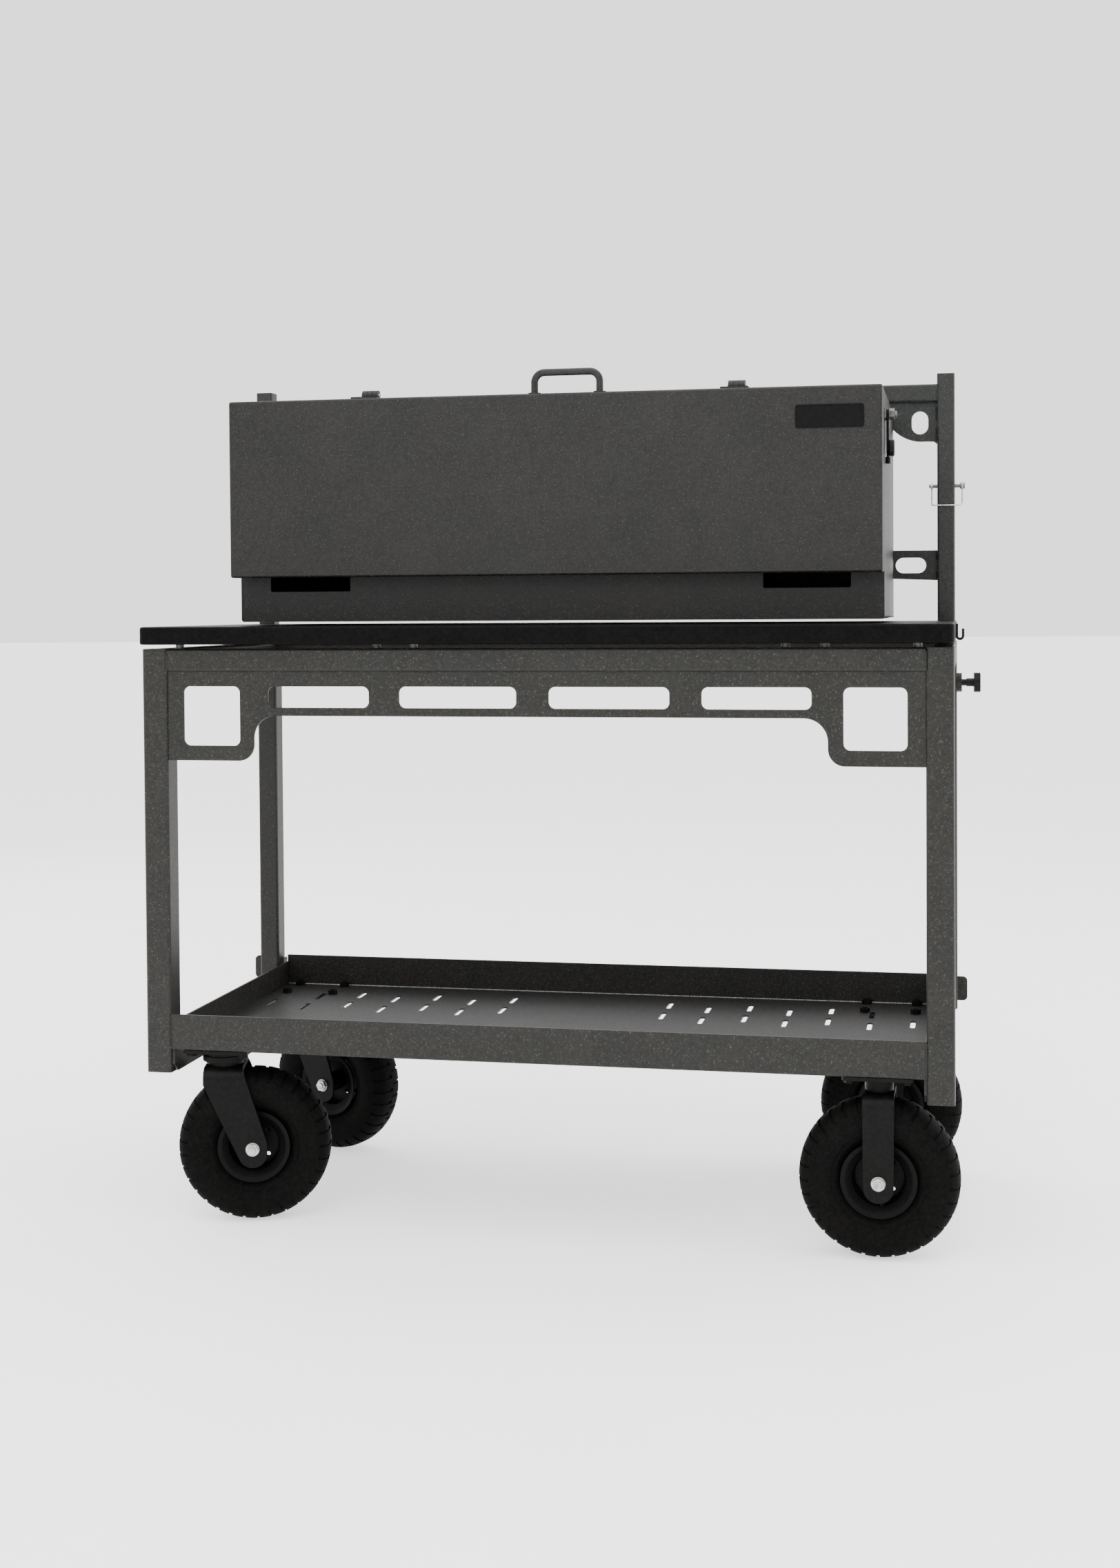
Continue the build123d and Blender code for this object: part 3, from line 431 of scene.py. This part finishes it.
ownFinishes = {
    "weld": metalMaterial(
        "weldMetal", clean=(0.30, 0.33, 0.30), tarnish=(0.11, 0.12, 0.105), stretch=(1, 1, 1), scale=220.0,
        metal=0.35, bump=0.4),
    "pin": metalMaterial("darkSteel", clean=(0.12, 0.12, 0.115), tarnish=(0.04, 0.04, 0.038), metal=0.8),
    # tray pan coat: the same paint as the frame, made lighter and cooler; that extra lightness and cool tint is
    # painted sheen standing in for reflections on the tray floor
    "tray": coatMaterial(
        "trayCoatPaintedSheen", dark=(0.0088, 0.0087, 0.0084), light=(0.0160, 0.0158, 0.0153),
        fleck=(0.12, 0.12, 0.116),
        flecks=0.45, dust=0.02, bump=0.25, gloss=0.16),
    "rim": coatMaterial(
        "rimCoat", dark=(0.0008, 0.0008, 0.0008), light=(0.0018, 0.0018, 0.0018),
        fleck=(0.012, 0.012, 0.012),
        flecks=0.15, dust=0.01, bump=0.12, gloss=0.08),
}

# nodes that look different from the rest of their slot
wheels = ("front_left", "rear_left", "front_right", "rear_right")
finishOf = {"plate_bolts": finishes["caster_steel"], "stay_arm": finishes["caster_steel"],
            "tray_pan": ownFinishes["tray"]}
for nodeName in ("lock_pin_left", "lock_pin_right", "slab_fixings", "stay_bolt"):
    finishOf[nodeName] = ownFinishes["pin"]
for corner in wheels:
    finishOf[f"rim_{corner}"] = ownFinishes["rim"]

slotOf = {part["node"]: part["material_slot"] for part in frame["record"]["subparts"]}
for nodeName, piece in nodes.items():
    finish = finishOf.get(nodeName, finishes[slotOf[nodeName]])
    for place in piece.material_slots:
        place.material = finish
    if not piece.material_slots:
        piece.data.materials.append(finish)
print("finishes made:", len(finishes) + len(ownFinishes))


def give(piece, slotName, body, *replaced, finish=None):
    piece.data.materials.clear()
    piece.data.materials.append(finish or finishes[slotName])
    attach(piece, body)
    if replaced:
        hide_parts(*replaced)


# tyres: one is spun and given its tread, then copied to the four wheels

tyreSettings = {
    "radius": 0.129, "beadRadius": 0.0495, "halfWidth": 0.0398, "widestAt": 0.092,
    "sectionPoints": 40, "steps": 132, "mergeWithin": 0.00005, "smoothUnder": 32,
    # how square the section is across and outwards, above its widest place and below it
    "squareAbove": (0.72, 0.8), "squareBelow": (0.8, 0.85), "pinch": (0.48, 1.3),
    # grooves between the lugs, staggered from one side to the other
    "treadHalf": 0.031, "pastTread": 0.006, "treadReach": 0.0175, "rib": 0.004,
    "grooveEvery": 4, "stagger": 2, "lugDepth": 0.0022,
    # raised ring on each wall
    "ringFrom": 0.0715, "ringTo": 0.0765, "ringSide": 0.02, "ringHeight": 0.0008,
}


def tyreSection(turn, s):
    # half width and radius of the section at a turn around it, 0 at the crown
    side = math.sin(turn)
    up = math.cos(turn)
    if up >= 0:
        across, outward = s["squareAbove"]
        width = s["halfWidth"]
        radius = s["widestAt"] + (s["radius"] - s["widestAt"]) * up ** outward
    else:
        across, outward = s["squareBelow"]
        share, power = s["pinch"]
        width = s["halfWidth"] * (1 - share * (-up) ** power)
        radius = s["widestAt"] - (s["widestAt"] - s["beadRadius"]) * (-up) ** outward
    return width * math.copysign(abs(side) ** across, side), radius


def makeTyre(s):
    clearSelection()
    bpy.ops.mesh.primitive_circle_add(vertices=s["sectionPoints"], radius=s["radius"],
                                      rotation=(math.pi / 2, 0, 0))
    tyre = named("tyreMaster")
    settle(tyre)
    for index, vertex in enumerate(tyre.data.vertices):
        acrossWheel, outward = tyreSection(2 * math.pi * index / s["sectionPoints"], s)
        vertex.co = (0, acrossWheel, outward)
    selectOnly(tyre)
    bpy.ops.object.mode_set(mode="EDIT")
    bpy.ops.mesh.select_all(action="SELECT")
    bpy.ops.mesh.spin(steps=s["steps"], angle=2 * math.pi, center=(0, 0, 0), axis=(0, 1, 0))
    bpy.ops.mesh.select_all(action="SELECT")
    bpy.ops.mesh.remove_doubles(threshold=s["mergeWithin"])
    bpy.ops.mesh.normals_make_consistent(inside=False)
    leaveEdit()

    def inGroove(face):
        middle = face.calc_center_median()
        outward = math.hypot(middle.x, middle.z)
        if outward < s["radius"] - s["treadReach"] or abs(middle.y) > s["treadHalf"] + s["pastTread"]:
            return False
        step = int(round((math.atan2(middle.x, middle.z) / (2 * math.pi) + 1) * s["steps"] - 0.5))
        shifted = step if middle.y > 0 else step + s["stagger"]
        return shifted % s["grooveEvery"] == 0 and abs(middle.y) > s["rib"]

    def onRing(face):
        middle = face.calc_center_median()
        outward = math.hypot(middle.x, middle.z)
        return s["ringFrom"] < outward < s["ringTo"] and abs(middle.y) > s["ringSide"]

    pick(tyre, "FACE", inGroove)
    swell(-s["lugDepth"])
    leaveEdit()
    pick(tyre, "FACE", onRing)
    swell(s["ringHeight"])
    leaveEdit()
    smooth(tyre, s["smoothUnder"])
    return tyre


tyreMaster = makeTyre(tyreSettings)
print("tyre made:", len(tyreMaster.data.polygons), "faces")

valveSettings = {
    "radius": 0.0032, "length": 0.026, "sides": 20, "reach": 0.046, "inboard": 0.012, "lean": 28.0,
    "capInset": 0.0006, "capHeight": 0.004, "dimpleInset": 0.0008, "dimpleDepth": 0.001,
    "footHeight": 0.003, "footFlare": 1.5, "smoothUnder": 30,
}


def makeValve(s):
    clearSelection()
    bpy.ops.mesh.primitive_cylinder_add(vertices=s["sides"], radius=s["radius"], depth=s["length"])
    valve = named("valveMaster")
    pick(valve, "FACE", lambda face: face.normal.z > 0.9)
    bpy.ops.mesh.inset(thickness=s["capInset"])
    push(0, 0, s["capHeight"])
    bpy.ops.mesh.inset(thickness=s["dimpleInset"])
    push(0, 0, -s["dimpleDepth"])
    leaveEdit()
    pick(valve, "FACE", lambda face: face.normal.z < -0.9)
    push(0, 0, -s["footHeight"])
    bpy.ops.transform.resize(value=(s["footFlare"], s["footFlare"], 1))
    leaveEdit()
    valve.rotation_euler = (math.radians(90 + s["lean"]), 0, 0)
    valve.location = (0, -s["inboard"], s["reach"])
    settle(valve)
    smooth(valve, s["smoothUnder"])
    return valve


valveMaster = makeValve(valveSettings)
wheelRoll = {"first": 40, "next": 67}    # degrees that each wheel is rolled round its axle
jointOf = {joint["name"]: joint for joint in frame["joints"]}
for number, corner in enumerate(wheels):
    joint = jointOf[f"wheel_{corner}_spin"]
    aim = Vector((0, 1, 0)).rotation_difference(Vector(joint["axis"])).to_matrix().to_4x4()
    roll = Matrix.Rotation(math.radians(wheelRoll["first"] + wheelRoll["next"] * number), 4, "Y")
    toWheel = Matrix.Translation(joint["pos_m"]) @ aim @ roll
    tyre = copyOf(tyreMaster, f"tyre{number}")
    tyre.matrix_world = toWheel
    settle(tyre)
    give(tyre, "tyre_rubber", f"wheel_{corner}", f"tyre_{corner}")
    valve = copyOf(valveMaster, f"valve{number}")
    valve.matrix_world = toWheel
    settle(valve)
    give(valve, "black_plastic", f"wheel_{corner}")
for master in (tyreMaster, valveMaster):
    bpy.data.objects.remove(master)
print("wheels dressed")


# weld beads: rows of flattened balls, a painted and a bare piece on the cart and a painted one on the lift

beadSettings = {"segments": 10, "rings": 6, "waves": 1900, "drift": 0.01, "swing": 0.08, "drop": 0.6,
                "smoothUnder": 60}
weldSettings = {"radius": 0.0030, "ripple": 0.0026, "flat": 0.9, "long": 1.0}
paintedSettings = {"radius": 0.0020, "ripple": 0.0022, "flat": 0.9, "long": 1.0}
seamSettings = {"radius": 0.0013, "ripple": 0.0060, "flat": 0.9, "long": 3.2}


def weldRun(start, end, s):
    start = Vector(start)
    end = Vector(end)
    length = (end - start).length
    count = max(2, int(length / s["ripple"]))
    clearSelection()
    bpy.ops.mesh.primitive_uv_sphere_add(segments=beadSettings["segments"], ring_count=beadSettings["rings"],
                                         radius=s["radius"])
    bead = named("weldRun")
    bead.scale = (s["long"], s["flat"], s["flat"])
    settle(bead)
    modifier = bead.modifiers.new("row", "ARRAY")
    modifier.count = count
    modifier.use_relative_offset = False
    modifier.use_constant_offset = True
    modifier.constant_offset_displace = (length / count, 0, 0)
    applyModifiers(bead)
    swing = beadSettings["swing"] * s["radius"]
    for index, vertex in enumerate(bead.data.vertices):
        wobble = math.sin(vertex.co.x * beadSettings["waves"] + index * beadSettings["drift"]) * swing
        vertex.co.y += wobble
        vertex.co.z -= wobble * beadSettings["drop"]
    aim = Vector((1, 0, 0)).rotation_difference((end - start).normalized()).to_matrix().to_4x4()
    bead.matrix_world = Matrix.Translation(start) @ aim
    settle(bead)
    return bead


def upright(x, y, low, high):
    return (x, y, low), (x, y, high)


def across(low, high, y, z):
    return (low, y, z), (high, y, z)


def mirroredRuns(runs):
    both = []
    for start, end in runs:
        both.append((start, end))
        both.append(((-start[0], start[1], start[2]), (-end[0], end[1], end[2])))
    return both


def sized(runs, s):
    return [(start, end, s) for start, end in runs]


def layWelds(name, runs, body, slotName, finish=None):
    welds = joined([weldRun(start, end, s) for start, end, s in runs], name)
    smooth(welds, beadSettings["smoothUnder"])
    give(welds, slotName, body, finish=finish)


legLow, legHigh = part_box("front_leg_right")
rearLow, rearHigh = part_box("rear_leg_right")
trayLow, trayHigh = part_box("tray_lips")
railLow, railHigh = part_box("front_rail")
apronLow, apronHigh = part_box("apron_panel")
plateLow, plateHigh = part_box("back_plate")
tubeLow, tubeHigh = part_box("cross_tube")
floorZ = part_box("tray_pan")[1][2]
legX, legY = legLow[0], legLow[1]
rearX, rearY = rearLow[0], rearLow[1]

# how far a run stops short of the edges that it follows, and how deep it sits in them
runSettings = {
    "end": 0.004, "lipEnd": 0.002, "legInner": 0.008, "legOuter": 0.006, "frontSunk": 0.0005,
    "rearSunk": 0.001, "railSunk": 0.001, "apronSunk": 0.0006, "seamEnd": 0.003, "seamSunk": 0.0036,
    "seamLift": 0.0006, "tubeEnd": 0.003, "tubeSunk": 0.0008, "postSunk": 0.0015,
}
# where each stitch along the apron's top edge starts and ends
apronStitches = [(-0.52, -0.49), (-0.36, -0.335), (-0.2, -0.17), (-0.045, -0.015),
                 (0.12, 0.15), (0.27, 0.3), (0.43, 0.455), (0.56, 0.585)]
# bottom and top of the runs at the back plate's ears, above the plate's lower edge
earRuns = [(0.3255, 0.350), (0.074, 0.086), (0.108, 0.120)]
topRun = (0.012, 0.034)    # below the plate's upper edge

s = runSettings
paintedRuns = mirroredRuns([
    upright(legX, legY + s["frontSunk"], railLow[2] + s["end"], railHigh[2] - s["end"]),
    upright(legX, trayLow[1] + s["frontSunk"], trayLow[2] + s["end"], trayHigh[2] - s["lipEnd"]),
    upright(rearX, rearY + s["rearSunk"], railLow[2] + s["end"], railHigh[2] - s["end"]),
    across(legX + s["legInner"], legHigh[0] - s["legOuter"], legHigh[1], railLow[2] + s["railSunk"]),
    across(rearX + s["end"], rearHigh[0] - s["end"], rearY, railLow[2] + s["railSunk"]),
])
paintedRuns += [across(low, high, apronLow[1], apronHigh[2] - s["apronSunk"]) for low, high in apronStitches]
seamX = (trayHigh[0] + rearX) / 2    # between the side lip and the rear leg
seamY = trayHigh[1] - s["seamSunk"]
bareRuns = mirroredRuns([
    upright(seamX, seamY, floorZ + s["end"], trayHigh[2] - s["end"]),
    across(rearX + s["end"], rearHigh[0] - s["end"], rearY, floorZ),
    ((rearX, rearY + s["end"], floorZ), (rearX, rearHigh[1] - s["legOuter"], floorZ)),
])
seamRuns = [across(-trayHigh[0] + s["seamEnd"], trayHigh[0] - s["seamEnd"], seamY, floorZ + s["seamLift"])]
layWelds("paintedWelds", sized(paintedRuns, paintedSettings), "cart", "frame_coat")
layWelds("bareWelds", sized(bareRuns, weldSettings) + sized(seamRuns, seamSettings), "cart", "frame_coat",
         ownFinishes["weld"])

postInner = tubeHigh[0]
plateX = postInner - s["postSunk"]
liftRuns = mirroredRuns([
    upright(postInner, tubeLow[1] + s["tubeSunk"], tubeLow[2] + s["tubeEnd"], tubeHigh[2] - s["tubeEnd"]),
    upright(plateX, plateLow[1], plateHigh[2] - topRun[0], plateHigh[2] - topRun[1]),
    *(upright(plateX, plateLow[1], plateLow[2] + low, plateLow[2] + high) for low, high in earRuns),
])
layWelds("liftWelds", sized(liftRuns, paintedSettings), "lift", "lift_coat")
print("welds laid:", len(paintedRuns) + len(bareRuns) + len(seamRuns) + len(liftRuns), "runs")


# name plate: blank, with a raised rim and two rivets

plateSettings = {
    "rim": 0.0022, "rimHeight": 0.0007, "corner": 0.004, "cornerSteps": 6, "smoothUnder": 30,
    "rivet": 0.0024, "rivetFlat": 0.42, "rivetReach": 0.048, "rivetSunk": 0.0012,
}


def makeNamePlate(s):
    low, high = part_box("maker_plate")
    middle = (Vector(low) + Vector(high)) / 2
    size = Vector(high) - Vector(low)
    clearSelection()
    bpy.ops.mesh.primitive_cube_add(size=1, location=middle)
    plate = named("namePlate")
    plate.scale = (size.x, size.y - s["rimHeight"], size.z)
    plate.location.y += s["rimHeight"] / 2
    settle(plate)
    pick(plate, "EDGE", lambda edge: abs((edge.verts[0].co - edge.verts[1].co).y) > 0.0005)
    bpy.ops.mesh.bevel(offset=s["corner"], segments=s["cornerSteps"])
    leaveEdit()
    pick(plate, "FACE", lambda face: face.normal.y < -0.9)
    push(0, -s["rimHeight"], 0)
    bpy.ops.mesh.inset(thickness=s["rim"])
    push(0, s["rimHeight"], 0)
    leaveEdit()
    parts = [plate]
    for side in (-1, 1):
        clearSelection()
        rivetPlace = (middle.x + side * s["rivetReach"], low[1] + s["rivetSunk"], middle.z)
        bpy.ops.mesh.primitive_uv_sphere_add(segments=16, ring_count=8, radius=s["rivet"],
                                             location=rivetPlace)
        rivet = named("rivet")
        rivet.scale = (1, s["rivetFlat"], 1)
        settle(rivet)
        parts.append(rivet)
    plate = joined(parts, "namePlate")
    smooth(plate, s["smoothUnder"])
    return plate


give(makeNamePlate(plateSettings), "badge_metal", "flap", "maker_plate")
print("name plate made")


# floor and light

stageSettings = {
    "size": 120.0, "below": 0.0005, "cloudScale": 3.0, "tones": (0.82, 0.88), "roughness": 0.9,
    "floorGlow": 0.9, "worldTone": (1.0, 1.0, 1.0), "worldLight": 1.9,
}
clearSelection()
bpy.ops.mesh.primitive_plane_add(size=stageSettings["size"], location=(0, 0, -stageSettings["below"]))
floor = named("paleFloor")
floorPaint, floorTree, floorShader = newMaterial("floorPaint")
floorCloud = noise(floorTree, objectPlace(floorTree), stageSettings["cloudScale"], 4.0, 0.5)
floorTone = ranged(floorTree, floorCloud, (0.0, 1.0), stageSettings["tones"])
feed(floorTree, floorTone, floorShader.inputs["Base Color"])
floorShader.inputs["Roughness"].default_value = stageSettings["roughness"]
floorShader.inputs["Emission Color"].default_value = (1, 1, 1, 1)
floorShader.inputs["Emission Strength"].default_value = stageSettings["floorGlow"]
floor.data.materials.append(floorPaint)

lights = {
    "overhead": {"place": (0.3, -0.4, 4.2), "aim": (0, 0, 0.9), "size": 4.5, "power": 150},
    "front": {"place": (-0.8, -4.7, 4.1), "aim": (0, 0, 1.0), "size": 3.4, "power": 120},
    "rightSide": {"place": (4.2, 1.2, 1.8), "aim": (0.4, 0, 0.9), "size": 3.0, "power": 110},
    "leftBack": {"place": (-3.6, 2.6, 2.6), "aim": (0, 0, 0.9), "size": 3.0, "power": 60},
}
for name, light in lights.items():
    clearSelection()
    bpy.ops.object.light_add(type="AREA", location=light["place"])
    lamp = bpy.context.object
    lamp.name = name
    lamp.data.energy = light["power"]
    lamp.data.size = light["size"]
    lamp.rotation_euler = (Vector(light["aim"]) - Vector(light["place"])).to_track_quat("-Z", "Y").to_euler()
world = bpy.data.worlds.new("softWorld")
world.use_nodes = True
sky = world.node_tree.nodes["Background"]
sky.inputs["Color"].default_value = (*stageSettings["worldTone"], 1)
sky.inputs["Strength"].default_value = stageSettings["worldLight"]
bpy.context.scene.world = world
print("stage lit")

clearSelection()
